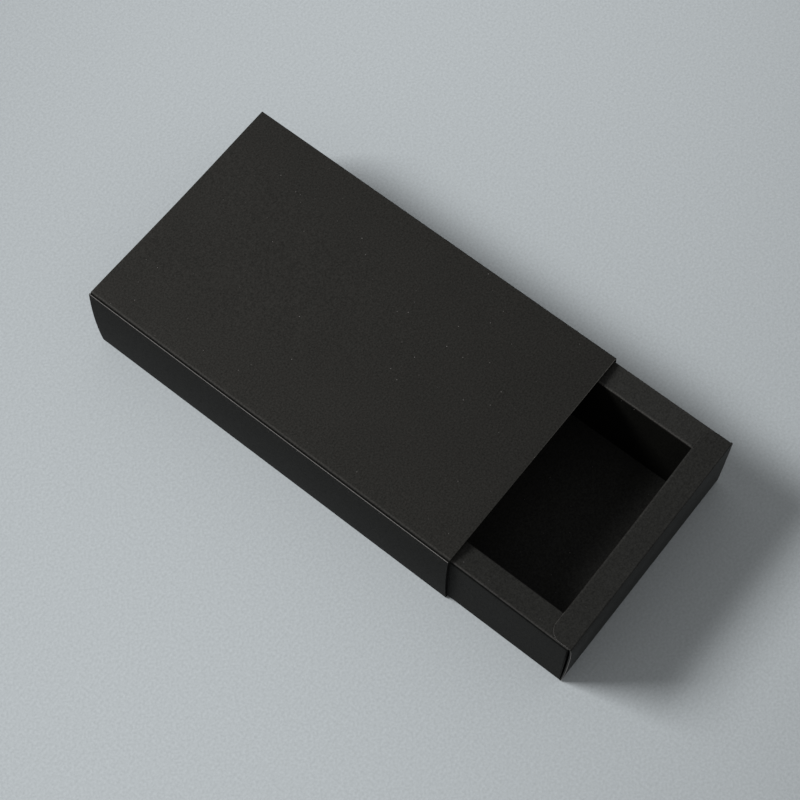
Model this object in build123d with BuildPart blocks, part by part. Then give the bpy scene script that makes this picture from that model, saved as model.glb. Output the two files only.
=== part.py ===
"""Sliding drawer gift box: a folded card tray that slides in an open-ended folded card sleeve.

Millimetres, +Z up. The origin is the centre of the sleeve's underside. The sleeve runs along Y,
and the tray comes out of its mouth towards -Y. Each panel between two creases, and each flap and
tab, is a solid of its own, one thickness of card, and meets its neighbours at the creases.
"""
from build123d import *
import os

os.makedirs("parts", exist_ok=True)

# ---------------------------------------------------------------- driving sizes
card = 0.45                 # thickness of the card that both sheets are cut from
crease_radius = 0.4         # outside of a crease

sleeve_width = 100.8        # across the side creases, outside
sleeve_length = 170.0
sleeve_height = 40.0
side_bow = 1.2              # how far the middle of each sleeve side stands out past its creases
glue_flap_width = 15.0      # flap on the top panel's left crease, glued inside the left side

rim_width = 10.2            # flat top of the tray's hollow walls
wall_lean = 2.5             # how far an inner wall's foot stands inwards of its top
rim_end_radius = 5.0        # round inner corners of the two rims that lie on top
tuck_flap_width = 8.0       # flap at an inner wall's foot, turned back under the rim
tuck_flap_taper = 4.0       # corner cut off each end of a tuck flap
corner_tab_length = 18.0    # tab on a side wall's end, folded behind the end wall
corner_tab_taper = 5.0      # corner cut off a tab's free edge
front_bow_left = 1.2        # how far the front wall's raw left edge springs out at mid-height
front_bow_right = 0.1       # the same at its right edge, where it lies nearly flat
pull_out = 52.3             # how far the tray's front stands out of the sleeve's mouth

# ---------------------------------------------------------------- clearances
glue_line = 0.05            # glue between the flap and the left side
side_clearance = 0.3        # tray to sleeve, each side
floor_clearance = 0.15      # tray's underside to the sleeve's bottom panel
head_clearance = 1.25       # upper rims to the sleeve's top panel
end_recess = 0.5            # tray's ends inside the sleeve's mouths when it is shut
fold_gap = 0.1              # between tray panels that stand side by side without a crease
rim_end_inset = 0.3         # ends of the upper rims inside the tray's sides

# ---------------------------------------------------------------- places worked out from them
half_sleeve = sleeve_width / 2
bore_left = -half_sleeve + 2 * card + glue_line  # inside the glued double thickness
bore_right = half_sleeve - card
bore_floor = card
bore_ceiling = sleeve_height - card

half_width = (bore_right - bore_left) / 2 - side_clearance
half_length = sleeve_length / 2 - end_recess
tray_base = bore_floor + floor_clearance
tray_floor_top = tray_base + card
upper_rim_top = bore_ceiling - head_clearance   # rims of the two end walls
lower_rim_top = upper_rim_top - card            # rims of the two side walls, one card lower

UP = Vector(0, 0, 1)
LEFT = Vector(-1, 0, 0)
RIGHT = Vector(1, 0, 0)
FRONT = Vector(0, -1, 0)
REAR = Vector(0, 1, 0)
tray_middle = Vector((bore_left + bore_right) / 2, -sleeve_length / 2 - pull_out + half_length, 0)


def upright(direction, origin=tray_middle):
    """Upright plane: its x runs along direction, its y up."""
    return Plane(origin=origin, x_dir=direction, z_dir=direction.cross(UP))


def level(direction, height):
    """Level plane at a height through the tray's middle: its x runs along direction."""
    return Plane(origin=tray_middle + UP * height, x_dir=direction, z_dir=UP)


def write(piece, label):
    """Label a finished piece and write it."""
    piece.part.label = label
    export_step(piece.part, f"parts/{label}.step")


# ---------------------------------------------------------------- sleeve: top and bottom panels
for label, underside in (("sleeve_bottom_panel", 0), ("sleeve_top_panel", bore_ceiling)):
    with BuildPart() as flat_panel:
        with BuildSketch(Plane.XY.offset(underside)):
            Rectangle(sleeve_width - 2 * card, sleeve_length)
        extrude(amount=card)
    write(flat_panel, label)


# ---------------------------------------------------------------- bowed panels
def bowed_strip(outside, bottom, top, bow, creases):
    """Upright section of one thickness of card, bowed outwards between bottom and top.

    Its outside face starts and ends at x = outside. Creases names the ends, "bottom" and "top",
    where the card folds on to the next panel and its outside corner is round.
    """
    middle = (bottom + top) / 2
    inside = outside - card
    with BuildSketch() as strip:
        with BuildLine():
            ThreePointArc((outside, bottom), (outside + bow, middle), (outside, top))
            Line((outside, top), (inside, top))
            ThreePointArc((inside, top), (inside + bow, middle), (inside, bottom))
            Line((inside, bottom), (outside, bottom))
        make_face()
        corners = {
            "bottom": strip.vertices().group_by(Axis.Y)[0].sort_by(Axis.X)[-1],
            "top": strip.vertices().group_by(Axis.Y)[-1].sort_by(Axis.X)[-1],
        }
        for crease in creases:
            fillet(corners[crease], crease_radius)
    return strip.sketch


# ---------------------------------------------------------------- sleeve: bowed sides
# the left side's top is a raw edge; every other edge along the sleeve is a crease
SLEEVE_SIDES = (
    ("sleeve_left_side_panel", LEFT, ["bottom"]),
    ("sleeve_right_side_panel", RIGHT, ["bottom", "top"]),
)
sleeve_middle = Vector(0, 0, 0)

for label, direction, creases in SLEEVE_SIDES:
    with BuildPart() as side_panel:
        with BuildSketch(upright(direction, sleeve_middle)):
            add(bowed_strip(half_sleeve, 0, sleeve_height, side_bow, creases))
        extrude(amount=sleeve_length / 2, both=True)
    write(side_panel, label)

with BuildPart() as glue_flap:
    with BuildSketch(upright(LEFT, sleeve_middle)):
        add(bowed_strip(half_sleeve - card - glue_line, 0, sleeve_height, side_bow, []))
        with Locations((half_sleeve, bore_ceiling - glue_flap_width / 2)):
            Rectangle(half_sleeve, glue_flap_width, mode=Mode.INTERSECT)
    extrude(amount=sleeve_length / 2, both=True)
write(glue_flap, "sleeve_glue_flap")

# ---------------------------------------------------------------- tray: floor
with BuildPart() as tray_floor:
    with BuildSketch(level(RIGHT, tray_base)):
        Rectangle(2 * (half_width - card), 2 * (half_length - card))
    extrude(amount=card)
write(tray_floor, "tray_floor")


# ---------------------------------------------------------------- tray: its four hollow walls
def outer_wall_section(reach, rim_top):
    """Section of an outer wall: x is the distance from the tray's middle, y the height."""
    with BuildSketch() as section:
        with Locations((reach - card, tray_base)):
            Rectangle(card, rim_top - tray_base, align=Align.MIN)
        fillet(section.vertices().group_by(Axis.X)[-1], crease_radius)
    return section.sketch


def inner_wall_section(reach, rim_top):
    """Section of an inner wall, which leans outwards from its foot to the rim's inner edge."""
    head = reach - rim_width
    foot = head - wall_lean
    with BuildSketch() as section:
        with BuildLine():
            Polyline(
                (foot, tray_floor_top),
                (foot + card, tray_floor_top),
                (head + card, rim_top - card),
                (head, rim_top - card),
                close=True,
            )
        make_face()
    return section.sketch


def tuck_flap_outline(reach, rim_top, half_span):
    """Outline of a tuck flap on the floor, from its leaning inner wall outwards."""
    lean_in_flap = wall_lean * card / (rim_top - card - tray_floor_top)
    crease = reach - rim_width - wall_lean + card + lean_in_flap
    with BuildSketch() as outline:
        with Locations((crease + tuck_flap_width / 2, 0)):
            Rectangle(tuck_flap_width, 2 * half_span)
        chamfer(outline.vertices().group_by(Axis.X)[-1], tuck_flap_taper)
    return outline.sketch


# the two side walls: their rims run the whole length, under the ends of the upper rims
side_wall_half_span = half_length - card
side_inner_half_span = half_length - 2 * card - fold_gap

for name, direction in (("tray_left", LEFT), ("tray_right", RIGHT)):
    with BuildPart() as outer_wall:
        with BuildSketch(upright(direction)):
            add(outer_wall_section(half_width, lower_rim_top))
        extrude(amount=side_wall_half_span, both=True)
    write(outer_wall, f"{name}_outer_wall")

    with BuildPart() as lower_rim:
        with BuildSketch(upright(direction)):
            with Locations((half_width - rim_width, lower_rim_top - card)):
                Rectangle(rim_width - card, card, align=Align.MIN)
        extrude(amount=side_wall_half_span, both=True)
    write(lower_rim, f"{name}_rim")

    with BuildPart() as inner_wall:
        with BuildSketch(upright(direction)):
            add(inner_wall_section(half_width, lower_rim_top))
        extrude(amount=side_inner_half_span, both=True)
    write(inner_wall, f"{name}_inner_wall")

    with BuildPart() as tuck_flap:
        with BuildSketch(level(direction, tray_floor_top)):
            add(tuck_flap_outline(half_width, lower_rim_top, side_inner_half_span))
        extrude(amount=card)
    write(tuck_flap, f"{name}_tuck_flap")

# the two end walls: their rims lie on top, and their inner walls stand between the side ones
end_inner_top_half_span = half_width - rim_width - fold_gap
end_inner_foot_half_span = end_inner_top_half_span - wall_lean
side_rim_underside = lower_rim_top - card

with BuildPart() as rear_outer_wall:
    with BuildSketch(upright(REAR)):
        add(outer_wall_section(half_length, upper_rim_top))
    extrude(amount=half_width, both=True)
write(rear_outer_wall, "tray_rear_outer_wall")

# the front wall is held by its top and bottom creases alone, and its left edge has sprung out
with BuildPart() as front_outer_wall:
    for side, bow in ((LEFT, front_bow_left), (RIGHT, front_bow_right)):
        with BuildSketch(upright(FRONT, tray_middle + side * half_width)):
            add(bowed_strip(half_length, tray_base, upper_rim_top, bow, ["bottom", "top"]))
    loft(ruled=True)
write(front_outer_wall, "tray_front_outer_wall")

for name, direction in (("tray_front", FRONT), ("tray_rear", REAR)):
    with BuildPart() as upper_rim:
        with BuildSketch(level(direction, lower_rim_top)):
            with Locations((half_length - (rim_width + card) / 2, 0)):
                Rectangle(rim_width - card, 2 * (half_width - rim_end_inset))
            fillet(vertices().group_by(Axis.X)[0], rim_end_radius)
        extrude(amount=card)
    write(upper_rim, f"{name}_rim")

    with BuildPart() as inner_wall:
        with BuildSketch(upright(direction)):
            add(inner_wall_section(half_length, upper_rim_top))
        extrude(amount=half_width, both=True)
        with BuildSketch(upright(direction.cross(UP))):
            with BuildLine():
                Polyline(
                    (-end_inner_foot_half_span, tray_floor_top),
                    (end_inner_foot_half_span, tray_floor_top),
                    (end_inner_top_half_span, side_rim_underside),
                    (end_inner_top_half_span, lower_rim_top),
                    (-end_inner_top_half_span, lower_rim_top),
                    (-end_inner_top_half_span, side_rim_underside),
                    close=True,
                )
            make_face()
        extrude(amount=half_length, both=True, mode=Mode.INTERSECT)
    write(inner_wall, f"{name}_inner_wall")

    with BuildPart() as tuck_flap:
        with BuildSketch(level(direction, tray_floor_top)):
            add(tuck_flap_outline(half_length, upper_rim_top, end_inner_foot_half_span))
        extrude(amount=card)
    write(tuck_flap, f"{name}_tuck_flap")

# ---------------------------------------------------------------- tray: corner tabs
tab_foot = tray_floor_top + fold_gap
tab_top = side_rim_underside - fold_gap
tab_distance = half_length - 1.5 * card         # middle of the tab's thickness, behind an end wall

for end, towards_end in (("front", FRONT), ("rear", REAR)):
    for side, towards_side in (("left", LEFT), ("right", RIGHT)):
        with BuildPart() as corner_tab:
            with BuildSketch(upright(towards_side, tray_middle + towards_end * tab_distance)):
                with Locations((half_width - card - corner_tab_length, tab_foot)):
                    Rectangle(corner_tab_length, tab_top - tab_foot, align=Align.MIN)
                chamfer(vertices().group_by(Axis.X)[0], corner_tab_taper)
            extrude(amount=card / 2, both=True)
        write(corner_tab, f"tray_{end}_{side}_corner_tab")
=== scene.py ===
import math

import bpy
import numpy as np
from mathutils import Matrix, Vector


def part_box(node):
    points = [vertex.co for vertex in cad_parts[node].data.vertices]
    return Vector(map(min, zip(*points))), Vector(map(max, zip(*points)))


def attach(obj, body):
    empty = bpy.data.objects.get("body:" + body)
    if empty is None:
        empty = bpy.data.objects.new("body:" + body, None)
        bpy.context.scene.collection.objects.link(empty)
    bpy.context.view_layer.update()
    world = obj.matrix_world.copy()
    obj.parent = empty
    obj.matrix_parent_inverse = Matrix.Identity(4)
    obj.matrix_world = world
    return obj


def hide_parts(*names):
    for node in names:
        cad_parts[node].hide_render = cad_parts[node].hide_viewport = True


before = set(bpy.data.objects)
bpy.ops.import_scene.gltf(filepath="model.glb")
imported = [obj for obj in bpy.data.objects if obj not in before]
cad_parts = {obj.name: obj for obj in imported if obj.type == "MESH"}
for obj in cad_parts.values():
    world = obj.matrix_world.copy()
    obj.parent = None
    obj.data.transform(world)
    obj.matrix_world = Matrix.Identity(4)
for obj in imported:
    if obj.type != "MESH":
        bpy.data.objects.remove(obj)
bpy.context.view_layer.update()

bl_info = {
    "name": "Sliding drawer gift box",
    "version": (1, 0, 0),
    "blender": (4, 5, 0),
    "location": "3D View > Sidebar > Drawer Box",
    "description": "Folded matt black card sleeve and drawer tray, with creases and raw cut edges",
    "category": "Add Mesh",
}

MM = 0.001

# ---------------------------------------- places read from the frame
X, Y, Z = 0, 1, 2
LOW, HIGH = 0, 1

TOP_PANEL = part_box("sleeve_top_panel")
GLUE_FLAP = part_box("sleeve_glue_flap")
TRAY_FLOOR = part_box("tray_floor")
RIGHT_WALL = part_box("tray_right_outer_wall")
RIGHT_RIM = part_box("tray_right_rim")
RIGHT_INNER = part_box("tray_right_inner_wall")
RIGHT_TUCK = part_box("tray_right_tuck_flap")
REAR_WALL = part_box("tray_rear_outer_wall")
REAR_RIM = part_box("tray_rear_rim")
REAR_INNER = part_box("tray_rear_inner_wall")
REAR_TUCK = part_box("tray_rear_tuck_flap")
CORNER_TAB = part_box("tray_rear_right_corner_tab")

CARD = TOP_PANEL[HIGH][Z] - TOP_PANEL[LOW][Z]
HALF_SLEEVE = TOP_PANEL[HIGH][X] + CARD
SLEEVE_MOUTH = TOP_PANEL[LOW][Y]
SLEEVE_REAR = TOP_PANEL[HIGH][Y]
SLEEVE_HEIGHT = TOP_PANEL[HIGH][Z]
FLAP_REACH = -(GLUE_FLAP[HIGH][X] - CARD)
FLAP_WIDTH = GLUE_FLAP[HIGH][Z] - GLUE_FLAP[LOW][Z]

TRAY_X = (TRAY_FLOOR[LOW][X] + TRAY_FLOOR[HIGH][X]) / 2
TRAY_Y = (TRAY_FLOOR[LOW][Y] + TRAY_FLOOR[HIGH][Y]) / 2
HALF_WIDTH = RIGHT_WALL[HIGH][X] - TRAY_X
HALF_LENGTH = REAR_WALL[HIGH][Y] - TRAY_Y
TRAY_BASE = TRAY_FLOOR[LOW][Z]
FLOOR_TOP = TRAY_FLOOR[HIGH][Z]
LOWER_RIM_TOP = RIGHT_RIM[HIGH][Z]
UPPER_RIM_TOP = REAR_RIM[HIGH][Z]
RIM_WIDTH = HALF_WIDTH - (RIGHT_RIM[LOW][X] - TRAY_X)
WALL_LEAN = RIGHT_RIM[LOW][X] - RIGHT_INNER[LOW][X]
SIDE_WALL_SPAN = RIGHT_WALL[HIGH][Y] - TRAY_Y
SIDE_INNER_SPAN = RIGHT_INNER[HIGH][Y] - TRAY_Y
END_INNER_SPAN = REAR_INNER[HIGH][X] - TRAY_X
UPPER_RIM_SPAN = REAR_RIM[HIGH][X] - TRAY_X
SIDE_TUCK_REACH = RIGHT_TUCK[HIGH][X] - TRAY_X
END_TUCK_REACH = REAR_TUCK[HIGH][Y] - TRAY_Y
TAB_FOOT = CORNER_TAB[LOW][Z]
TAB_TOP = CORNER_TAB[HIGH][Z]
TAB_LENGTH = CORNER_TAB[HIGH][X] - CORNER_TAB[LOW][X]

# ---------------------------------------- form of the two sheets
TUCK_TAPER = 4.0 * MM             # corner cut off each end of a tuck flap
TAB_TAPER = 5.0 * MM              # corner cut off a tab's free edge
RIM_END_RADIUS = 5.0 * MM         # round inner corners of the upper rims
LEAD = 0.1 * MM                   # flat card kept on each side of a fold's arc
NOTCH = 0.02 * MM                 # width of the step between a crease and a raw edge beside it
SMOOTH_ANGLE = math.radians(35)   # arrises that turn more than this stay sharp
FOLD_STEPS, RUN_STEPS, SPAN_STEPS, ROUND_STEPS, TAB_STEPS = 10, 30, 48, 16, 16
UP = np.array([0.0, 0.0, 1.0])


def from_hex(text):
    """Linear colour of an sRGB hex value.

    A channel c gives c / 12.92 up to 0.04045, and else ((c + 0.055) / 1.055) ^ 2.4.
    """
    channels = np.array([int(text[i:i + 2], 16) for i in (0, 2, 4)]) / 255
    linear = np.where(channels <= 0.04045, channels / 12.92, ((channels + 0.055) / 1.055) ** 2.4)
    return tuple(float(channel) for channel in linear)


# ---------------------------------------- settings
def length_setting(name, description, default):
    """A length in metres."""
    return bpy.props.FloatProperty(
        name=name, description=description, default=default, unit="LENGTH")


def share_setting(name, description, default):
    """A share from 0 to 1."""
    return bpy.props.FloatProperty(
        name=name, description=description, default=default, subtype="FACTOR", min=0, max=1)


def angle_setting(name, description, degrees):
    """An angle whose default is given in degrees."""
    return bpy.props.FloatProperty(
        name=name, description=description, default=math.radians(degrees), subtype="ANGLE")


def colour_setting(name, description, text):
    """A linear colour whose default is given as an sRGB hex value."""
    return bpy.props.FloatVectorProperty(
        name=name, description=description, default=from_hex(text), size=3, subtype="COLOR",
        min=0, max=1)


class CreaseSettings(bpy.types.PropertyGroup):
    """How the card of both sheets folds."""
    fold_radius: length_setting("Fold radius", "Outside radius of an ordinary fold", 0.52 * MM)
    opening_fold_radius: length_setting(
        "Opening fold radius", "Outside radius of the folds round the tray's opening", 0.5 * MM)
    seam_fold_radius: length_setting(
        "Seam fold radius",
        "Outside radius of the fold from the sleeve's top to its glue flap", 0.75 * MM)
    seam_gap: length_setting(
        "Seam gap", "How far the glue flap's fold stands back from the side's raw edge", 0.33 * MM)
    front_fold_radius: length_setting(
        "Front fold radius", "Outside radius of the soft fold over the front wall", 0.48 * MM)
    rub_reach: length_setting(
        "Rub reach", "How far the whitened card reaches from a fold", 0.14 * MM)
    recess_depth: length_setting(
        "Recess depth", "How far a side wall falls back under the bulge of its top fold", 0.45 * MM)


class SleeveSettings(bpy.types.PropertyGroup):
    """How the sleeve has settled."""
    bow_mouth: length_setting(
        "Bow at the mouth", "How far a side stands out at the mouth", 0.98 * MM)
    bow_rear: length_setting(
        "Bow at the rear", "How far a side stands out at the rear end", 0.95 * MM)
    foot_spread: length_setting(
        "Foot spread", "How far each side's foot stands out past its top", 0.35 * MM)
    top_sag: length_setting(
        "Top sag", "How far the top panel hangs in the middle of its rear end", 0.7 * MM)
    ripple: length_setting("Ripple", "Height of the faint unevenness of a panel", 0.05 * MM)


class TraySettings(bpy.types.PropertyGroup):
    """How the tray was folded by hand."""
    left_rim_dip: length_setting(
        "Left rim dip", "How much lower the left rim's inner edge lies than level", 1.3 * MM)
    right_rim_dip: length_setting(
        "Right rim dip", "How much lower the right rim's inner edge lies than level", 0.7 * MM)
    left_rise: length_setting(
        "Left rise", "How much higher the left wall's top fold stands between the ends", 0.8 * MM)
    rack: length_setting(
        "Rack", "How far the tray's upper edges lean over to the right of its floor", 0.5 * MM)
    foot_spread: length_setting(
        "Foot spread", "How far the tray's left and right feet stand out past its top", 0.45 * MM)
    front_bow_left: length_setting(
        "Front bow, left", "How far the front wall's raw left edge has sprung out", 0.84 * MM)
    front_bow_right: length_setting(
        "Front bow, right", "How far the front wall's right edge stands out", 0.1 * MM)
    front_lean_left: length_setting(
        "Front lean, left", "How far the front wall's top left corner leans out", 0.5 * MM)
    front_lean_right: length_setting(
        "Front lean, right", "How far the front wall's top right corner leans out", 0.2 * MM)
    opening_slant: length_setting(
        "Opening slant", "How far each end of the front rim's inner edge is off square", 0.5 * MM)
    opening_bow: length_setting(
        "Opening bow", "How far the front rim's inner edge bends towards the front", 0.3 * MM)


class CardSettings(bpy.types.PropertyGroup):
    """Finish of the black card."""
    # painted light: the sleeve and tray colours are the lighter copies painted on level faces and
    # the end walls
    sleeve_colour: colour_setting(
        "Sleeve colour", "The sleeve's card where hands have polished it", "22211E")
    tray_colour: colour_setting(
        "Tray colour", "The tray's card where hands have polished it", "20201E")
    # painted shade: the darker copy painted on upright faces and inside the tray; also the dark
    # core of a cut edge
    deep_colour: colour_setting("Deep colour", "Dyed card that hands haven't touched", "0F0F0D")
    rubbed_colour: colour_setting(
        "Rubbed colour", "Card whose dyed face has opened at a fold", "5C5A57")
    cut_colour: colour_setting("Cut edge colour", "Core of the card at a die-cut edge", "8E8B89")
    roughness: share_setting("Roughness", "Roughness of the uncoated face", 0.85)
    # roughness where the lighter colour is painted
    painted_light_roughness: share_setting(
        "Polished roughness", "Roughness where hands have polished the face", 0.6)
    gloss: share_setting(
        "Gloss", "Specular level of the fibrous face, which shades much of its own gloss", 0.2)
    inner_gloss: share_setting(
        "Inner gloss", "Specular level on the tray's inner walls, which nothing has touched", 0.04)
    grain: length_setting("Grain", "Size of the mottled fibre grain", 0.7 * MM)
    fleck_spacing: length_setting(
        "Fleck spacing", "Spacing of the places where a pale fibre may lie", 2.2 * MM)


class StageSettings(bpy.types.PropertyGroup):
    """Floor, light and camera."""
    floor_colour: colour_setting("Floor colour", "Pale blue-grey studio paper", "B6BCBF")
    key_azimuth: angle_setting(
        "Key azimuth", "Direction of the large soft lamp, from the rear towards the left", 28)
    key_elevation: angle_setting(
        "Key elevation", "Height of the large soft lamp over the floor", 41)
    key_distance: length_setting("Key distance", "Distance of the large soft lamp", 3.0)
    key_half_width: angle_setting(
        "Key half width", "Half the angle that the lamp spans sideways", 11)
    key_half_height: angle_setting(
        "Key half height", "Half the angle that the lamp spans upwards", 8.5)
    key_share: share_setting(
        "Key share", "Share of the light on the floor that comes from the lamp", 0.67)


# ---------------------------------------- profiles of folded card
# A profile is a table with one row per point along the card: the outside point, the inside point
# and how rubbed the card is there. The outside lies to the right of the way the profile runs.
OUTSIDE, INSIDE, RUB = slice(0, 2), slice(2, 4), 4
FADED = 0.3                       # share of a fold's whitening that is left at its ends


def rubbed(distance, reach):
    """Whitening beside a fold: exp(-(distance / reach)²)."""
    return np.exp(-(distance / reach) ** 2)


def eased(steps):
    """Shares of a way, (1 - cos πt) / 2, which crowd towards its two ends."""
    return (1 - np.cos(np.pi * np.linspace(0, 1, steps + 1))) / 2


def way(start, end):
    """Unit vector from start to end."""
    step = np.array(end) - np.array(start)
    return step / np.hypot(*step)


def run_of_card(start, end, cuts, rubs, reach, steps):
    """Straight run of card from start to end, cut short at each end.

    Cuts are the lengths left out at the two ends and rubs the whitening of the folds there, of
    which a run takes the share FADED.
    """
    ahead = way(start, end)
    right = np.array([ahead[1], -ahead[0]])
    length = np.hypot(*(np.array(end) - np.array(start)))
    along = cuts[0] + (length - cuts[0] - cuts[1]) * eased(steps)
    outside = np.array(start) + along[:, None] * ahead
    near_start = FADED * rubs[0] * rubbed(along - cuts[0], reach)
    near_end = FADED * rubs[1] * rubbed(length - cuts[1] - along, reach)
    return np.column_stack([outside, outside - CARD * right, np.maximum(near_start, near_end)])


def turn_between(before, after):
    """Angle from way before to way after."""
    return math.acos(np.clip(np.dot(before, after), -1, 1))


def fold_cut(before, after, radius):
    """Length of a run that a fold and its flat leads take up: radius · tan(turn / 2) + lead."""
    return radius * math.tan(turn_between(before, after) / 2) + LEAD


def fold_of_card(corner, before, after, radius, rub):
    """Fold at a corner, a left turn from way before to way after, with a flat lead on each side.

    The outside is an arc, centre + radius · (cos φ · right + sin φ · before) for φ from 0 to the
    turn, and the inside the same arc one card nearer to the centre. The whitening rises from the
    share FADED at its ends as sin²(πφ / turn).
    """
    turn = turn_between(before, after)
    right = np.array([before[1], -before[0]])
    centre = np.array(corner) - before * radius * math.tan(turn / 2) - right * radius
    angle = np.linspace(0, turn, FOLD_STEPS + 1)[:, None]
    normals = np.cos(angle) * right + np.sin(angle) * before
    arc = np.hstack([centre + radius * normals, centre + (radius - CARD) * normals])
    lead_in = arc[:1] - LEAD * np.tile(before, 2)
    lead_out = arc[-1:] + LEAD * np.tile(after, 2)
    rows = np.vstack([lead_in, arc, lead_out])
    ridge = np.sin(np.pi * np.linspace(0, 1, FOLD_STEPS + 1)) ** 2
    ridge = np.concatenate([[0.0], ridge, [0.0]])
    return np.column_stack([rows, rub * (FADED + (1 - FADED) * ridge)])


def strip_of_card(corners, radii, rubs, reach, steps=RUN_STEPS):
    """Runs, folds and cuts of a strip of card that folds at every corner between its two ends.

    Radii has one entry for each fold, rubs the whitening at each corner, and cuts the length that
    each corner takes off the runs beside it, nil at the two ends. Steps is one number, or one for
    each run.
    """
    ways = [way(*pair) for pair in zip(corners, corners[1:])]
    turns = list(zip(corners[1:], ways, ways[1:], radii))
    cuts = [0.0, *(fold_cut(*turn[1:]) for turn in turns), 0.0]
    folds = [fold_of_card(*turn, rub) for turn, rub in zip(turns, rubs[1:])]
    runs = [
        run_of_card(corners[i], corners[i + 1], cuts[i:i + 2], rubs[i:i + 2], reach, run_steps)
        for i, run_steps in enumerate(np.broadcast_to(steps, len(ways)))]
    return runs, folds, cuts


def joined(*profiles):
    """One profile of several, without the points that they share."""
    return np.vstack([profiles[0]] + [profile[1:] for profile in profiles[1:]])


# ---------------------------------------- grids of points
def swept(profile, origin, axes, spans):
    """Outside and inside grids of a profile carried straight along its sheet.

    Point(i, j) = origin + axis 0 · profile x + axis 1 · profile y + axis 2 · span(i, j). Spans
    holds a row of places for each station, or one column where they are the same all along the
    profile.
    """
    grids = []
    for columns in (OUTSIDE, INSIDE):
        points = profile[:, columns]
        section = origin + points[:, :1] * axes[0] + points[:, 1:] * axes[1]
        grids.append(section[None, :, :] + spans[:, :, None] * axes[2])
    return grids


def upright_axes(outward):
    """Axes of an upright section: outward, up, and along, a quarter turn left of outward."""
    return outward, UP, np.cross(UP, outward)


def even_spans(low, high):
    """Stations from low to high, the same all along the profile."""
    return np.linspace(low, high, SPAN_STEPS + 1)[:, None]


def graded_spans(half_spans, steps=SPAN_STEPS):
    """Stations from one end to the other where the half span differs along the profile."""
    return np.linspace(-1, 1, steps + 1)[:, None] * np.asarray(half_spans)[None, :]


# ---------------------------------------- how the sheets have settled
def settled_sleeve(points, scene):
    """Points of the sleeve, shifted by its own unevenness.

    A is the share of the way from the middle to a crease, h that of the height, and r that of the
    way to the rear end. Sides: x moves out by bow · 4h(1 - h), bow a line along r, and by
    spread · (1 - h). Top: z drops by sag · r^1.5 · (1 - a²)² · h. Both get an inward ripple,
    nil at the creases: ripple · (2 - w) / 2, w = sin(5.1r + 2.3a) + sin(11.7r - 3.1a + 1).
    """
    settings = scene.drawer_box_sleeve
    x, y, z = points[..., X], points[..., Y], points[..., Z]
    across = x / HALF_SLEEVE
    height = z / SLEEVE_HEIGHT
    rearward = (y - SLEEVE_MOUTH) / (SLEEVE_REAR - SLEEVE_MOUTH)
    bow = settings.bow_mouth + (settings.bow_rear - settings.bow_mouth) * rearward
    bulge = 4 * height * (1 - height)
    middle = (1 - np.clip(across ** 2, 0, 1)) ** 2
    wave = np.sin(5.1 * rearward + 2.3 * across) + np.sin(11.7 * rearward - 3.1 * across + 1.0)
    ripple = settings.ripple * (wave - 2) / 2
    side_shift = across * (bulge * (bow + ripple) + settings.foot_spread * (1 - height))
    top_shift = -settings.top_sag * np.clip(rearward, 0, 1) ** 1.5 + ripple
    shifted = points.copy()
    shifted[..., X] += side_shift
    shifted[..., Z] += top_shift * middle * height
    return shifted


def settled_side_wall(points, scene):
    """Points of a side wall, shifted by its unevenness.

    Its rim slopes down inwards: z drops by dip · r · h, r the share of the rim's width from the
    outer fold and h the share of the height. The left wall's outer fold stands higher between the
    end walls, by rise · (1 - r) · h · (1 - s⁴), s the share of the way to them. Under the bulge of
    the outer fold the outer wall falls back: x moves in by depth · (1 - exp(-d / 0.6 mm)) ·
    exp(-d / 5 mm), d the way below the fold, by its whole depth at the tray's ends and six tenths
    of it in the middle. This fades out over the first sixth of the rim.
    """
    settings, crease = scene.drawer_box_tray, scene.drawer_box_crease
    steep, gentle = 0.6 * MM, 5.0 * MM
    depth_in_middle, rim_fade = 0.6, 6
    x, y, z = points[..., X] - TRAY_X, points[..., Y] - TRAY_Y, points[..., Z]
    side = np.sign(x)
    rim_share = np.clip((HALF_WIDTH - np.abs(x)) / RIM_WIDTH, 0, 1)
    height = np.clip((z - FLOOR_TOP) / (LOWER_RIM_TOP - FLOOR_TOP), 0, 1)
    below_fold = np.clip(LOWER_RIM_TOP - crease.fold_radius - z, 0, None)
    outer = np.clip(1 - rim_fade * rim_share, 0, 1)
    to_end = np.clip(np.abs(y) / HALF_LENGTH, 0, 1)
    towards_end = depth_in_middle + (1 - depth_in_middle) * to_end ** 2
    recess = (1 - np.exp(-below_fold / steep)) * np.exp(-below_fold / gentle)
    to_end_wall = np.clip(np.abs(y) / (HALF_LENGTH - RIM_WIDTH), 0, 1)
    dip = np.where(side < 0, settings.left_rim_dip, settings.right_rim_dip)
    rise = np.where(side < 0, settings.left_rise, 0.0) * (1 - to_end_wall ** 4)
    shifted = points.copy()
    shifted[..., X] -= side * outer * crease.recess_depth * towards_end * recess
    shifted[..., Z] += (rise * (1 - rim_share) - dip * rim_share) * height
    return shifted


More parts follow.
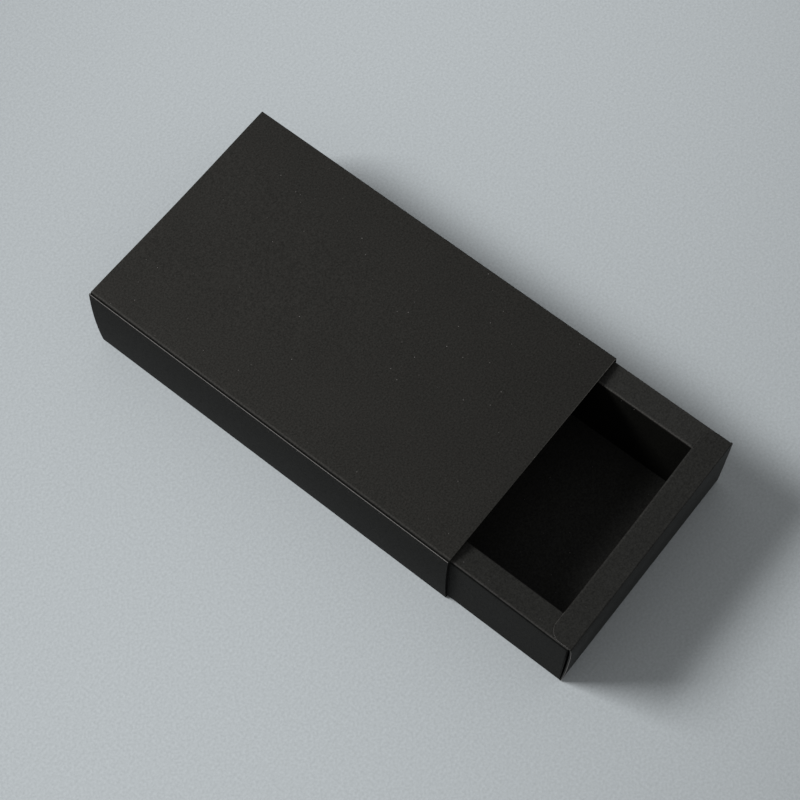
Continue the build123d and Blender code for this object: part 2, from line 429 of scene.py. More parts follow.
def settled_front_wall(points, scene):
    """Points of the front wall, shifted by its unevenness.

    It has sprung out between its two folds: y moves out by b · f(h), b a line from its raw left
    edge to its right one, h the share of the height, f = 1 - |2h - 1|², or ⁵ over the middle,
    which fades out over the first eighth of the rim. It leans out by l · h · (1 - r), l a line too
    and r the share of the rim's width. The rim's inner edge is off square and bent, by
    r · (slant · a - bow · (1 - a²)), a the share of the way across.
    """
    settings = scene.drawer_box_tray
    rim_fade, sharp, gentle = 8, 5.0, 2.0
    across = (points[..., X] - TRAY_X) / HALF_WIDTH
    height = np.clip((points[..., Z] - TRAY_BASE) / (UPPER_RIM_TOP - TRAY_BASE), 0, 1)
    bulge = 1 - np.abs(2 * height - 1) ** np.where(height > 0.5, sharp, gentle)
    rim_share = np.clip((HALF_LENGTH - np.abs(points[..., Y] - TRAY_Y)) / RIM_WIDTH, 0, 1)
    outer = np.clip(1 - rim_fade * rim_share, 0, 1)
    left, right = (1 - across) / 2, (1 + across) / 2
    bow = settings.front_bow_left * left + settings.front_bow_right * right
    lean = settings.front_lean_left * left + settings.front_lean_right * right
    bend = settings.opening_slant * across - settings.opening_bow * (1 - across ** 2)
    shifted = points.copy()
    shifted[..., Y] -= outer * bow * bulge + lean * height * (1 - rim_share)
    shifted[..., Y] += rim_share * bend
    return shifted


def unchanged(points, scene):
    """Points of a panel that lies true, as the other settling functions give theirs."""
    return points.copy()


# ---------------------------------------- meshes
def quads(index):
    """Faces between neighbouring points of a grid of point numbers."""
    corners = [index[:-1, :-1], index[1:, :-1], index[1:, 1:], index[:-1, 1:]]
    return np.stack(corners, axis=-1).reshape(-1, 4)


def upward_share(grid):
    """How far a grid's surface looks up: z of its unit normal, ∂u × ∂v over its length."""
    tiny = 1e-12
    normals = np.cross(np.gradient(grid, axis=0), np.gradient(grid, axis=1))
    return normals[..., Z] / np.maximum(np.linalg.norm(normals, axis=-1), tiny)


def card_piece(
        node, grids, rub, raw, body, materials, upright=0.5, shaded=0.0, pale=1.0):
    """Closed sheet of card between an outside and an inside grid of points, standing for a node.

    Rub is the whitening of each point of a grid. Raw names the sides of the grid that are die-cut
    edges: start and end of the span, first and last of the profile. The faces are turned outwards
    by the sign of the volume, the sum of a · (b × c) / 6 over the triangles. Light and shade are
    painted by how far the face looks up: painted_shading = (upright + (1 - upright) · u²) ·
    (1 - shaded), u the upward share of the normal and shaded a painted shade; the lighter colour
    is painted where it is high. Arris is pale on the outside and 0 on the inside, so that it runs
    across the cut edges; the less it is, the thinner their pale line.
    """
    outside, inside = grids
    rows, columns = outside.shape[:2]
    index = np.arange(rows * columns).reshape(rows, columns)
    inner = index + rows * columns
    sides = {
        "start": np.stack([inner[0], index[0]]),
        "end": np.stack([index[-1], inner[-1]]),
        "first": np.stack([inner[:, 0], index[:, 0]], axis=1),
        "last": np.stack([index[:, -1], inner[:, -1]], axis=1),
    }
    faces = [quads(index), quads(inner)[:, ::-1]]
    finish = [np.zeros(2 * len(faces[0]), dtype=np.int32)]
    for side, strip in sides.items():
        strip_faces = quads(strip)
        faces.append(strip_faces)
        finish.append(np.full(len(strip_faces), int(side in raw), dtype=np.int32))
    faces = np.vstack(faces)
    points = np.vstack([outside.reshape(-1, 3), inside.reshape(-1, 3)])
    a, b, c, d = (points[faces[:, corner]] for corner in range(4))
    volume = np.sum(a * np.cross(b, c)) + np.sum(a * np.cross(c, d))
    turned = 1.0
    if volume < 0:
        faces = faces[:, ::-1]
        turned = -1.0
    upward = np.concatenate([
        turned * upward_share(outside).reshape(-1), -turned * upward_share(inside).reshape(-1)])
    # painted shading: a lighter colour is painted where the face looks up and a darker one on
    # upright faces, less the painted shade
    painted_shading = upright + (1 - upright) * np.clip(upward, 0, 1) ** 2
    painted_shading *= 1 - np.tile(np.broadcast_to(shaded, (rows, columns)).reshape(-1), 2)

    mesh = bpy.data.meshes.new(f"card_{node}")
    mesh.from_pydata(points.tolist(), [], faces.tolist())
    mesh.polygons.foreach_set("material_index", np.concatenate(finish))
    mesh.polygons.foreach_set("use_smooth", np.ones(len(faces), dtype=bool))
    mesh.set_sharp_from_angle(angle=SMOOTH_ANGLE)
    rub = np.tile(np.broadcast_to(rub, (rows, columns)).reshape(-1), 2)
    arris = np.repeat([pale, 0.0], rows * columns)
    for name, values in (("rub", rub), ("painted_shading", painted_shading), ("arris", arris)):
        attribute = mesh.attributes.new(name, "FLOAT", "POINT")
        attribute.data.foreach_set("value", values.astype(np.float32))
    for material in materials:
        mesh.materials.append(material)
    mesh.update()
    if mesh.validate():
        raise RuntimeError(f"the mesh of {node} had faulty faces")

    piece = bpy.data.objects.new(mesh.name, mesh)
    bpy.context.scene.collection.objects.link(piece)
    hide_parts(node)
    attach(piece, body)
    return piece


# ---------------------------------------- materials
MIX_A, MIX_B, MIX_RESULT = 6, 7, 2        # sockets of a mix node that take and give colours
WHOLE = 1.0                               # share that mixes all of the second colour in
NOISE_RANGE = (0.3, 0.7)                  # nearly all values of a noise lie between these


def add_node(tree, kind, inputs, **settings):
    """Adds a node with its settings, and fills each input with a value or links it to a socket."""
    node = tree.nodes.new(kind)
    for name, value in settings.items():
        setattr(node, name, value)
    for key, value in inputs.items():
        if isinstance(value, bpy.types.NodeSocket):
            tree.links.new(value, node.inputs[key])
        else:
            node.inputs[key].default_value = value
    return node


def noise(tree, place, size, detail, roughness):
    """Socket of a noise whose coarsest grains are about as large as size."""
    return add_node(tree, "ShaderNodeTexNoise", {
        "Vector": place, "Scale": 1 / size, "Detail": detail, "Roughness": roughness,
    }).outputs["Fac"]


def remap(tree, value, low, high, to_low, to_high):
    """Socket of a value mapped from low and high to to_low and to_high, and held between those."""
    return add_node(tree, "ShaderNodeMapRange", {
        "Value": value, "From Min": low, "From Max": high, "To Min": to_low, "To Max": to_high,
    }).outputs["Result"]


def product(tree, first, second):
    """Socket of first · second."""
    return add_node(
        tree, "ShaderNodeMath", {0: first, 1: second}, operation="MULTIPLY").outputs["Value"]


def blend(tree, share, first, second, kind="MIX"):
    """Socket of the first colour with a share of the second mixed or multiplied in."""
    return add_node(
        tree, "ShaderNodeMix", {0: share, MIX_A: first, MIX_B: second},
        data_type="RGBA", blend_type=kind).outputs[MIX_RESULT]


def point_attribute(tree, name):
    """Socket of a point attribute of the mesh."""
    return add_node(tree, "ShaderNodeAttribute", {}, attribute_name=name).outputs["Fac"]


def fibre_relief(tree, height, strength):
    """Socket of the normal over fibres that stand up to 0.03 mm high."""
    fibre_height = 0.03 * MM
    return add_node(tree, "ShaderNodeBump", {
        "Height": height, "Strength": strength, "Distance": fibre_height}).outputs["Normal"]


def new_material(name):
    """An empty node material, its tree and the socket of the place in object coordinates."""
    material = bpy.data.materials.new(name)
    material.use_nodes = True
    tree = material.node_tree
    tree.nodes.clear()
    return material, tree, add_node(tree, "ShaderNodeTexCoord", {}).outputs["Object"]


def add_shader(tree, inputs):
    """Adds the shader and the material's output."""
    shader = add_node(tree, "ShaderNodeBsdfPrincipled", inputs)
    add_node(tree, "ShaderNodeOutputMaterial", {"Surface": shader.outputs["BSDF"]})


def opaque(colour):
    """A colour with an alpha of 1."""
    return (*colour, 1.0)


def matt_dyed_card(name, colour, look):
    """Uncoated card, dyed black through and calendered smooth, about 350 g/m².

    Gives the eye a near-black with a faint mottle of fibres, a few pale fibres lying in the
    surface, a dull gloss that only shows at a low angle, and a paler line where a fold has
    opened the face. Light and shade are painted into it too: a lighter copy of the colour on
    level faces and the end walls, a darker copy on upright faces and inside the tray, and a
    painted shade under the side rims' folds.
    """
    material, tree, place = new_material(name)
    cloud_size = 16 * MM
    grain = noise(tree, place, look.grain, 4.0, 0.7)
    clouds = noise(tree, place, cloud_size, 2.0, 0.5)
    mottle = remap(tree, grain, *NOISE_RANGE, 0.6, 1.4)
    drift = remap(tree, clouds, *NOISE_RANGE, 0.95, 1.05)
    tone = product(tree, mottle, drift)

    # painted shading: 0 on the tray's inner walls, 1/2 on upright outer faces, 1 on level faces and
    # the end walls, and down to -1/2 in the painted shade under a side rim's fold; the lighter copy
    # of the colour is painted towards 1, the darker towards 0, and below 0 it is darkened further
    painted_shading = point_attribute(tree, "painted_shading")
    painted_light_share = remap(tree, painted_shading, 0.5, 1.0, 0.0, 1.0)
    shine = remap(tree, painted_shading, 0.0, 0.5, look.inner_gloss, look.gloss)
    painted_fold_shade = remap(tree, painted_shading, -0.5, 0.0, 0.1, 1.0)
    # lit and shaded copies of the colour, mixed by the painted light share, times grain and painted
    # fold shade
    black = blend(tree, painted_light_share, opaque(look.deep_colour), opaque(colour))
    dyed = blend(tree, WHOLE, black, product(tree, tone, painted_fold_shade), "MULTIPLY")

    # pale fibres: one in five of the cells holds a fleck of about 0.4 mm, of any paleness
    one_in_five = 0.2
    fleck_size = 0.4 * MM / look.fleck_spacing
    fibres = add_node(tree, "ShaderNodeTexVoronoi", {
        "Vector": place, "Scale": 1 / look.fleck_spacing, "Randomness": 1.0})
    pick = add_node(tree, "ShaderNodeSeparateColor", {"Color": fibres.outputs["Color"]})
    chosen = add_node(tree, "ShaderNodeMath", {
        0: pick.outputs["Red"], 1: one_in_five}, operation="LESS_THAN").outputs["Value"]
    fleck = remap(tree, fibres.outputs["Distance"], 0.5 * fleck_size, 0.2 * fleck_size, 0.0, 0.85)
    flecks = product(tree, fleck, product(tree, chosen, pick.outputs["Green"]))
    with_fibres = blend(tree, flecks, dyed, opaque(look.cut_colour))

    # folds: the whitened line is broken up by the grain
    rub = product(tree, point_attribute(tree, "rub"), remap(tree, grain, 0.35, 0.6, 0.45, 1.0))
    add_shader(tree, {
        "Base Color": blend(tree, rub, with_fibres, opaque(look.rubbed_colour)),
        "Roughness": remap(tree, painted_light_share, 0.0, 1.0, look.roughness, look.painted_light_roughness),
        "Normal": fibre_relief(tree, grain, 0.35),
        "Specular IOR Level": product(tree, shine, mottle), "IOR": 1.5})
    return material


def die_cut_edge(look):
    """Edge of dyed card as the die leaves it.

    Gives the eye a thin grey line along the outer arris, where the die has crushed the fibres, and
    stays dark further in.
    """
    material, tree, place = new_material("die_cut_card_edge")
    fibre_size = 0.5 * MM
    fibres = noise(tree, place, fibre_size, 3.0, 0.6)
    crushed = remap(tree, point_attribute(tree, "arris"), 0.55, 0.85, 0.0, 1.0)
    across = blend(tree, crushed, opaque(look.deep_colour), opaque(look.cut_colour))
    mottle = remap(tree, fibres, *NOISE_RANGE, 0.7, 1.2)
    add_shader(tree, {
        "Base Color": blend(tree, WHOLE, across, mottle, "MULTIPLY"),
        "Normal": fibre_relief(tree, fibres, 0.4),
        "Roughness": 0.9, "Specular IOR Level": 0.3, "IOR": 1.5})
    return material


def studio_paper(colour):
    """Matt background paper, pale blue-grey.

    Gives the eye an even tone with a fine tooth, and a painted fall-off of the light, slowly on
    both
    sides of a band through the box: tone = 1.015 - 3.7 · t² down to 0.83, t the metres from its
    middle line.
    """
    material, tree, place = new_material("studio_background_paper")
    tooth_size = 1.0 * MM
    off_band = (-0.38, 0.925, 0.0)
    tooth = remap(tree, noise(tree, place, tooth_size, 3.0, 0.6), *NOISE_RANGE, 0.91, 1.09)
    from_band = add_node(tree, "ShaderNodeVectorMath", {
        0: place, 1: off_band}, operation="DOT_PRODUCT").outputs["Value"]
    # painted light: the paper is painted darker away from a band through the box, as the lamp's
    # light falls off
    painted_light_falloff = remap(tree, product(tree, from_band, from_band), 0.0, 0.05, 1.015, 0.83)
    tone = product(tree, tooth, painted_light_falloff)
    add_shader(tree, {
        "Base Color": blend(tree, WHOLE, opaque(colour), tone, "MULTIPLY"),
        "Roughness": 0.95, "Specular IOR Level": 0.1})
    return material


def finishes(sheet, look):
    """The two materials of a sheet, its face and its cut edge, made at the first call."""
    face_name = f"matt_black_{sheet}_card"
    face = bpy.data.materials.get(face_name)
    if face is None:
        colour = look.sleeve_colour if sheet == "sleeve" else look.tray_colour
        face = matt_dyed_card(face_name, colour, look)
    edge = bpy.data.materials.get("die_cut_card_edge") or die_cut_edge(look)
    return face, edge


# ---------------------------------------- the sleeve's sheet
SLEEVE_ORIGIN = np.zeros(3)
ACROSS = np.array([1.0, 0.0, 0.0])
SEAM_RUB = 0.8


def sleeve_piece(node, profile, raw, context, upright=0.5, mouth_rub=0.0):
    """One panel of the sleeve: its profile carried from the mouth to the rear end.

    The cuts at the mouth and the rear end are as dark as the dyed face; raw names the paler ones.
    The face is rubbed along the mouth, more to the right: mouth_rub · r², r the share of the way
    across. A station 0.2 mm inside the mouth ends it. Shade is painted on the face, more to the
    right and towards the mouth: shaded = 0.14 · m² + 0.09 · r, m the share of the way to it.
    """
    scene = context.scene
    rub_width, less_at_mouth, less_to_right = 0.2 * MM, 0.14, 0.09
    spans = even_spans(SLEEVE_MOUTH, SLEEVE_REAR)
    spans = np.insert(spans, 1, SLEEVE_MOUTH + rub_width, axis=0)
    rub = np.tile(profile[:, RUB], (len(spans), 1))
    to_right = np.clip((profile[:, 0] + HALF_SLEEVE) / (2 * HALF_SLEEVE), 0, 1)
    rub[0] = np.maximum(rub[0], mouth_rub * to_right ** 2)
    to_mouth = (SLEEVE_REAR - spans) / (SLEEVE_REAR - SLEEVE_MOUTH)
    # painted shade, darker towards the mouth and to the right
    shaded = less_at_mouth * to_mouth ** 2 + less_to_right * to_right
    grids = [
        settled_sleeve(grid, scene)
        for grid in swept(profile, SLEEVE_ORIGIN, upright_axes(ACROSS), spans)
    ]
    return card_piece(
        node, grids, rub, raw, "sleeve",
        finishes("sleeve", scene.drawer_box_card), upright, shaded)


def sleeve_strip(crease):
    """Runs and folds of the sleeve's sheet, from the left side's raw edge round to the flap's."""
    radius = crease.fold_radius
    flap_x = crease.seam_gap - FLAP_REACH
    corners = [
        (-HALF_SLEEVE, SLEEVE_HEIGHT), (-HALF_SLEEVE, 0.0), (HALF_SLEEVE, 0.0),
        (HALF_SLEEVE, SLEEVE_HEIGHT), (flap_x, SLEEVE_HEIGHT),
        (flap_x, SLEEVE_HEIGHT - CARD - FLAP_WIDTH)]
    radii = (radius, radius, radius, crease.seam_fold_radius)
    rubs = (0.2, 0.15, 0.15, 0.05, SEAM_RUB, 0.0)
    return strip_of_card(corners, radii, rubs, crease.rub_reach)[:2]


class DRAWERBOX_OT_sleeve_panels(bpy.types.Operator):
    """Fold the sleeve's bottom, right side, top and left side panels"""
    bl_idname = "drawer_box.sleeve_panels"
    bl_label = "Sleeve Panels"

    def execute(self, context):
        runs, folds = sleeve_strip(context.scene.drawer_box_crease)
        left, bottom, right, top, _ = runs
        left_foot, right_foot, right_head, _ = folds
        left_side, right_side = joined(left, left_foot), joined(right_foot, right, right_head)
        sleeve_piece("sleeve_left_side_panel", left_side, {"first"}, context)
        sleeve_piece("sleeve_bottom_panel", bottom, set(), context)
        sleeve_piece("sleeve_right_side_panel", right_side, set(), context)
        sleeve_piece("sleeve_top_panel", top, set(), context, mouth_rub=1.0)
        return {"FINISHED"}


class DRAWERBOX_OT_glue_flap(bpy.types.Operator):
    """Fold the sleeve's glue flap down inside its left side"""
    bl_idname = "drawer_box.glue_flap"
    bl_label = "Glue Flap"

    def execute(self, context):
        runs, folds = sleeve_strip(context.scene.drawer_box_crease)
        fold, flap = folds[-1], runs[-1]
        fold[:, RUB] = SEAM_RUB * FADED * np.linspace(1, 0, len(fold)) ** 2
        flap[:, RUB] = 0.0
        sleeve_piece("sleeve_glue_flap", joined(fold, flap), {"last"}, context, upright=0.0)
        return {"FINISHED"}


# ---------------------------------------- the tray's sheet
TRAY_ORIGIN = np.array([TRAY_X, TRAY_Y, 0.0])
SIDES = {"left": -ACROSS, "right": ACROSS}
ENDS = {"front": np.array([0.0, -1.0, 0.0]), "rear": np.array([0.0, 1.0, 0.0])}
CUT_ENDS = {"start", "end"}
CUT_ROUND = {"start", "end", "last"}


def hollow_wall(reach, rim_top, tuck_reach, rubs, top_radius, crease):
    """Runs, folds and cuts of a hollow wall's section, out from the tray's middle.

    The card runs out along the floor, up the outer wall, in over the rim, down and inwards along
    the inner wall, and back out along the floor as the tuck flap. Rubs is the whitening of the
    folds at the base, the top and the lip; the one at the foot has none.
    """
    foot = reach - RIM_WIDTH - WALL_LEAN
    corners = [
        (0.0, TRAY_BASE), (reach, TRAY_BASE), (reach, rim_top), (reach - RIM_WIDTH, rim_top),
        (foot, FLOOR_TOP), (tuck_reach, FLOOR_TOP)]
    radii = (crease.fold_radius, top_radius, crease.opening_fold_radius, crease.fold_radius)
    steps = (RUN_STEPS, 2 * RUN_STEPS, RUN_STEPS, RUN_STEPS, RUN_STEPS)
    return strip_of_card(corners, radii, (0.0, *rubs, 0.0, 0.0), crease.rub_reach, steps)


def tuck_spans(profile, half_span, tuck_end):
    """Stations along a tuck flap, whose half span is less by the corner cut near its free edge."""
    from_edge = tuck_end - profile[:, 0]
    return graded_spans(half_span - np.clip(TUCK_TAPER - from_edge, 0, TUCK_TAPER))


def tray_piece(node, grids, rub, raw, context, settle, upright=0.5, shaded=0.0, pale=1.0):
    """One panel, flap or tab of the tray, settled by its wall's own unevenness.

    The whole tray leans over to the right: x moves by rack · (h - 1/2), h the share of the height.
    Its feet spread: x moves by spread · a³ · (1 - h), a the share of the way from the middle.
    """
    scene = context.scene
    tray = scene.drawer_box_tray
    settled = [settle(grid, scene) for grid in grids]
    for grid in settled:
        height = grid[..., Z] / UPPER_RIM_TOP
        across = (grid[..., X] - TRAY_X) / HALF_WIDTH
        grid[..., X] += tray.rack * (height - 0.5) + tray.foot_spread * across ** 3 * (1 - height)
    return card_piece(
        node, settled, rub, raw, "drawer",
        finishes("tray", scene.drawer_box_card), upright, shaded, pale)


def wall_panels(wall, outward, panels, context, settle, pale=1.0):
    """Panels of a hollow wall, from rows of name, section, stations, cut sides, upright, shaded."""
    for panel, profile, spans, raw, upright, shaded in panels:
        grids = swept(profile, TRAY_ORIGIN, upright_axes(outward), spans)
        tray_piece(
            f"tray_{wall}_{panel}", grids, profile[:, RUB], raw, context, settle, upright, shaded,
            pale)


class DRAWERBOX_OT_tray_floor(bpy.types.Operator):
    """Lay the tray's floor between its four base folds"""
    bl_idname = "drawer_box.tray_floor"
    bl_label = "Tray Floor"

    def execute(self, context):
        crease = context.scene.drawer_box_crease
        # painted shade darkens the tray's floor
        cut, fold_rub, shade = crease.fold_radius + LEAD, 0.1, 0.1
        half_floor = HALF_WIDTH - cut
        profile = run_of_card(
            (-half_floor, TRAY_BASE), (half_floor, TRAY_BASE), (0.0, 0.0), (fold_rub, fold_rub),
            crease.rub_reach, SPAN_STEPS)
        spans = even_spans(cut - HALF_LENGTH, HALF_LENGTH - cut)
        grids = swept(profile, TRAY_ORIGIN, upright_axes(ACROSS), spans)
        tray_piece("tray_floor", grids, profile[:, RUB], set(), context, unchanged, shaded=shade)
        return {"FINISHED"}


def under_fold(height):
    """Painted shade under a side rim's fold, where the fold's bulge shades the outer wall.

    It is 2 · exp(-((d - 2 mm) / 0.9 mm)²), d the way below the rim.
    """
    middle, spread = 2.0 * MM, 0.9 * MM
    return 2 * np.exp(-((LOWER_RIM_TOP - height - middle) / spread) ** 2)


class DRAWERBOX_OT_tray_side_walls(bpy.types.Operator):
    """Fold the tray's left and right walls: outer wall, rim, inner wall and tuck flap"""
    bl_idname = "drawer_box.tray_side_walls"
    bl_label = "Tray Side Walls"

    def execute(self, context):
        crease = context.scene.drawer_box_crease
        radius = crease.fold_radius
        tab_fold = radius + LEAD
        rubs = {"left": (0.15, 0.3, 0.03), "right": (0.15, 0.15, 0.45)}
        for side, outward in SIDES.items():
            runs, folds, _ = hollow_wall(
                HALF_WIDTH, LOWER_RIM_TOP, SIDE_TUCK_REACH, rubs[side], radius, crease)
            _, outer, rim, inner, tuck = runs
            base_fold, top_fold, lip_fold, foot_fold = folds
            outer_spans = even_spans(tab_fold - HALF_LENGTH, HALF_LENGTH - tab_fold)
            rim_spans = even_spans(-SIDE_WALL_SPAN, SIDE_WALL_SPAN)
            inner_spans = even_spans(-SIDE_INNER_SPAN, SIDE_INNER_SPAN)
            flap_spans = tuck_spans(tuck, SIDE_INNER_SPAN, SIDE_TUCK_REACH)
            outer_wall = joined(base_fold, outer, top_fold)
            # painted shade in a band under the outer wall's top fold
            painted_fold_shade = under_fold(outer_wall[:, 1])
            wall_panels(side, outward, (
                ("outer_wall", outer_wall, outer_spans, set(), 0.5, painted_fold_shade),
                ("rim", joined(rim, lip_fold), rim_spans, CUT_ENDS, 0.0, 0.0),
                ("inner_wall", joined(inner, foot_fold), inner_spans, CUT_ENDS, 0.0, 0.0),
                ("tuck_flap", tuck, flap_spans, CUT_ROUND, 0.0, 0.0),
            ), context, settled_side_wall)
        return {"FINISHED"}


def rim_outline(places, lip_cut):
    """Distance of an upper rim's inner edge from the outer fold's corner line, at places across.

    In the middle it stops short of the fold over the opening. Beside that it is the rim's width,
    and at each end a round corner: width - radius + √(radius² - e²), e the way into the corner.
    """
    into_corner = np.clip(np.abs(places) - (UPPER_RIM_SPAN - RIM_END_RADIUS), 0, RIM_END_RADIUS)
    raw_edge = RIM_WIDTH - RIM_END_RADIUS + np.sqrt(RIM_END_RADIUS ** 2 - into_corner ** 2)
    return np.where(np.abs(places) <= END_INNER_SPAN, RIM_WIDTH - lip_cut, raw_edge)


def rim_places():
    """Stations across an upper rim.

    They are even in the middle, a step beside the opening, and sin θ steps round each corner.
    """
    straight_stations = 5
    middle = np.linspace(-END_INNER_SPAN, END_INNER_SPAN, SPAN_STEPS + 1)
    straight_end = UPPER_RIM_SPAN - RIM_END_RADIUS
    beside = np.linspace(END_INNER_SPAN + NOTCH, straight_end, straight_stations)
    turn = np.linspace(0, np.pi / 2, ROUND_STEPS + 1)[1:]
    corner = straight_end + RIM_END_RADIUS * np.sin(turn)
    right = np.concatenate([beside, corner])
    return np.concatenate([-right[::-1], middle, right])


class DRAWERBOX_OT_tray_end_walls(bpy.types.Operator):
    """Fold the tray's front and rear walls: outer wall, rim, inner wall and tuck flap"""
    bl_idname = "drawer_box.tray_end_walls"
    bl_label = "Tray End Walls"

    def execute(self, context):
        crease = context.scene.drawer_box_crease
        base_rub, top_rub, lip_rub, rim_end_rub = 0.15, 0.04, 0.1, 0.6
        # painted shade: the end walls darken towards one end and the upper rims darker; the outer
        # walls take the lighter painted colour
        middle_shade, rim_shade, thinner_edge = 0.1, 0.15, 0.8

        def shade(spans):
            """Twice the shade of the middle at the start of a full span, and nil at its end."""
            return middle_shade * (1 - spans[:, :1] / HALF_WIDTH)

        for end, outward in ENDS.items():
            top_radius, settle = crease.fold_radius, unchanged
            if end == "front":
                top_radius, settle = crease.front_fold_radius, settled_front_wall
            runs, folds, cuts = hollow_wall(
                HALF_LENGTH, UPPER_RIM_TOP, END_TUCK_REACH, (base_rub, top_rub, lip_rub),
                top_radius, crease)
            _, outer, _, inner, tuck = runs
            base_fold, top_fold, lip_fold, foot_fold = folds
            inner_wall = joined(lip_fold, inner, foot_fold)
            lean_share = (LOWER_RIM_TOP - inner_wall[:, 1]) / (LOWER_RIM_TOP - FLOOR_TOP)
            inner_spans = graded_spans(END_INNER_SPAN - WALL_LEAN * np.clip(lean_share, 0, 1))
            outer_spans = even_spans(-HALF_WIDTH, HALF_WIDTH)
            flap_spans = tuck_spans(tuck, END_INNER_SPAN - WALL_LEAN, END_TUCK_REACH)
            outer_wall = joined(base_fold, outer, top_fold)
            wall_panels(end, outward, (
                ("outer_wall", outer_wall, outer_spans, CUT_ENDS, 1.0, shade(outer_spans)),
                ("inner_wall", inner_wall, inner_spans, CUT_ENDS, 0.0, shade(inner_spans)),
                ("tuck_flap", tuck, flap_spans, CUT_ROUND, 0.0, shade(flap_spans)),
            ), context, settle, thinner_edge)

            grids, rub = upper_rim(
                outward, cuts[2], cuts[3], (top_rub, lip_rub, rim_end_rub), crease.rub_reach)
            tray_piece(
                f"tray_{end}_rim", grids, rub, CUT_ROUND, context, settle, shaded=rim_shade)
        return {"FINISHED"}


def upper_rim(outward, top_cut, lip_cut, rubs, reach):
    """Grids and whitening of an end wall's rim.

    Point(i, j): across = places(i); from the outer fold = cut + t(j) · (outline(i) - cut), t the
    eased shares. Of its two round ends the second is rubbed a quarter as much as the first.
    """
    places = rim_places()
    outline = rim_outline(places, lip_cut)
    inward = top_cut + eased(RUN_STEPS)[None, :] * (outline[:, None] - top_cut)
    outside = (
        TRAY_ORIGIN + UPPER_RIM_TOP * UP + (HALF_LENGTH - inward)[..., None] * outward
        + places[:, None, None] * np.cross(UP, outward))
    inside = outside - CARD * UP
    to_edge = rubbed(outline[:, None] - inward, reach)
    over_opening = (np.abs(places) <= END_INNER_SPAN)[:, None]
    raw_rub = np.where(places < 0, rubs[2], rubs[2] / 4)[:, None]
    rub = np.maximum(
        rubs[0] * rubbed(inward - top_cut, reach),
        to_edge * np.where(over_opening, rubs[1], raw_rub))
    return (outside, inside), rub


class DRAWERBOX_OT_corner_tabs(bpy.types.Operator):
    """Fold the tabs on the side walls' ends round behind the end walls"""
    bl_idname = "drawer_box.corner_tabs"
    bl_label = "Corner Tabs"

    def execute(self, context):
        crease = context.scene.drawer_box_crease
        profile = tab_profile(crease)
        from_edge = TAB_LENGTH - (HALF_WIDTH - CARD - profile[:, 0])
        half_heights = (TAB_TOP - TAB_FOOT) / 2 - np.clip(TAB_TAPER - from_edge, 0, TAB_TAPER)
        heights = (TAB_FOOT + TAB_TOP) / 2 + graded_spans(half_heights, steps=TAB_STEPS)
        for end, along_wall in ENDS.items():
            for side, outward in SIDES.items():
                grids = swept(profile, TRAY_ORIGIN, (outward, along_wall, UP), heights)
                tray_piece(
                    f"tray_{end}_{side}_corner_tab", grids, profile[:, RUB], CUT_ROUND, context,
                    unchanged, upright=0.0)
        return {"FINISHED"}


def tab_profile(crease):
    """Level section of a corner tab: x out from the tray's middle, y along the side wall.

    The fold turns from the side wall's way to the tab's, which runs inwards behind the end wall.
    """
    corners = [
        (HALF_WIDTH, 0.0), (HALF_WIDTH, SIDE_WALL_SPAN),
        (HALF_WIDTH - CARD - TAB_LENGTH, SIDE_WALL_SPAN)]
    no_rubs = (0.0, 0.0, 0.0)
    runs, folds, _ = strip_of_card(corners, (crease.fold_radius,), no_rubs, crease.rub_reach)
    return joined(folds[0], runs[1])


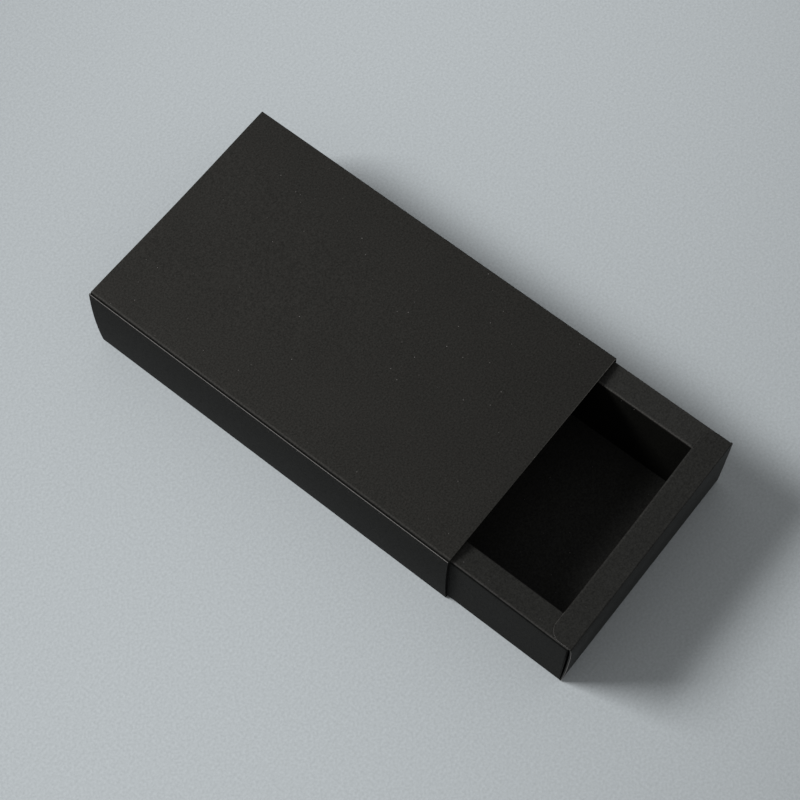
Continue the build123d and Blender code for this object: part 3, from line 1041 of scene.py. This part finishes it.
# ---------------------------------------- stage
class DRAWERBOX_OT_stage(bpy.types.Operator):
    """Set the pale floor, the large soft lamp, the even sky and the camera"""
    bl_idname = "drawer_box.stage"
    bl_label = "Stage"

    def execute(self, context):
        scene = context.scene
        stage = scene.drawer_box_stage
        centre = Vector((0.0, TRAY_Y / 2, 0.0))
        half_floor = 6.0
        corners = [
            (x * half_floor, y * half_floor, 0) for x, y in ((-1, -1), (1, -1), (1, 1), (-1, 1))]
        mesh = bpy.data.meshes.new("studio_floor")
        mesh.from_pydata(corners, [], [(0, 1, 2, 3)])
        mesh.materials.append(studio_paper(stage.floor_colour))
        floor = bpy.data.objects.new("studio_floor", mesh)
        scene.collection.objects.link(floor)

        # a far lamp makes a white floor as bright as power · sin(elevation) / (π · distance)²; the
        # key gives its share of 1 and the sky the rest, so that the paper shows its own colour
        to_lamp = Vector((
            -math.sin(stage.key_azimuth) * math.cos(stage.key_elevation),
            math.cos(stage.key_azimuth) * math.cos(stage.key_elevation),
            math.sin(stage.key_elevation)))
        lamp = bpy.data.lights.new("key_softbox", "AREA")
        lamp.shape = "RECTANGLE"
        lamp.size = 2 * stage.key_distance * math.tan(stage.key_half_width)
        lamp.size_y = 2 * stage.key_distance * math.tan(stage.key_half_height)
        lamp.energy = stage.key_share * (math.pi * stage.key_distance) ** 2 / to_lamp.z
        key = bpy.data.objects.new("key_softbox", lamp)
        key.location = centre + stage.key_distance * to_lamp
        key.rotation_euler = to_lamp.to_track_quat("Z", "Y").to_euler()
        scene.collection.objects.link(key)

        world = bpy.data.worlds.new("even_sky")
        world.use_nodes = True
        background = world.node_tree.nodes["Background"]
        sky = 1 - stage.key_share
        background.inputs["Color"].default_value = (sky, sky, sky, 1.0)
        background.inputs["Strength"].default_value = 1.0
        scene.world = world

        view = bpy.data.cameras.new("photo_view")
        view.sensor_width = 36.0
        view.lens = 88.832
        view.clip_end = 20.0
        camera = bpy.data.objects.new("photo_view", view)
        eye = (-0.230032, -0.211897, 0.701855)
        heading, pitch, roll = (math.radians(angle) for angle in (-50.620, 66.919, -0.978))
        turned = (
            Matrix.Rotation(heading, 4, "Z") @ Matrix.Rotation(math.pi / 2 - pitch, 4, "X")
            @ Matrix.Rotation(roll, 4, "Z"))
        camera.matrix_world = Matrix.Translation(eye) @ turned
        scene.collection.objects.link(camera)
        scene.camera = camera
        scene.view_settings.view_transform = "Standard"
        return {"FINISHED"}


# ---------------------------------------- sidebar and registration
STEPS = (
    "sleeve_panels", "glue_flap", "tray_floor", "tray_side_walls", "tray_end_walls",
    "corner_tabs", "stage",
)


class VIEW3D_PT_drawer_box(bpy.types.Panel):
    """Lists the steps and settings of the box."""
    bl_label = "Drawer Box"
    bl_space_type = "VIEW_3D"
    bl_region_type = "UI"
    bl_category = "Drawer Box"

    def draw(self, context):
        for name, group in SETTINGS.items():
            box = self.layout.box()
            box.label(text=group.__doc__)
            for field in group.__annotations__:
                box.prop(getattr(context.scene, name), field)
        for step in STEPS:
            self.layout.operator(f"drawer_box.{step}")


SETTINGS = {
    "drawer_box_crease": CreaseSettings,
    "drawer_box_sleeve": SleeveSettings,
    "drawer_box_tray": TraySettings,
    "drawer_box_card": CardSettings,
    "drawer_box_stage": StageSettings,
}
CLASSES = (
    *SETTINGS.values(), DRAWERBOX_OT_sleeve_panels, DRAWERBOX_OT_glue_flap,
    DRAWERBOX_OT_tray_floor, DRAWERBOX_OT_tray_side_walls, DRAWERBOX_OT_tray_end_walls,
    DRAWERBOX_OT_corner_tabs, DRAWERBOX_OT_stage, VIEW3D_PT_drawer_box,
)


def register():
    """Register the classes and hang the settings on the scene."""
    for entry in CLASSES:
        bpy.utils.register_class(entry)
    for name, group in SETTINGS.items():
        setattr(bpy.types.Scene, name, bpy.props.PointerProperty(type=group))


def unregister():
    """Undo register."""
    for name in SETTINGS:
        delattr(bpy.types.Scene, name)
    for entry in reversed(CLASSES):
        bpy.utils.unregister_class(entry)


def main():
    """Make the box and its stage."""
    register()
    for step in STEPS:
        getattr(bpy.ops.drawer_box, step)()


if __name__ == "__main__":
    main()
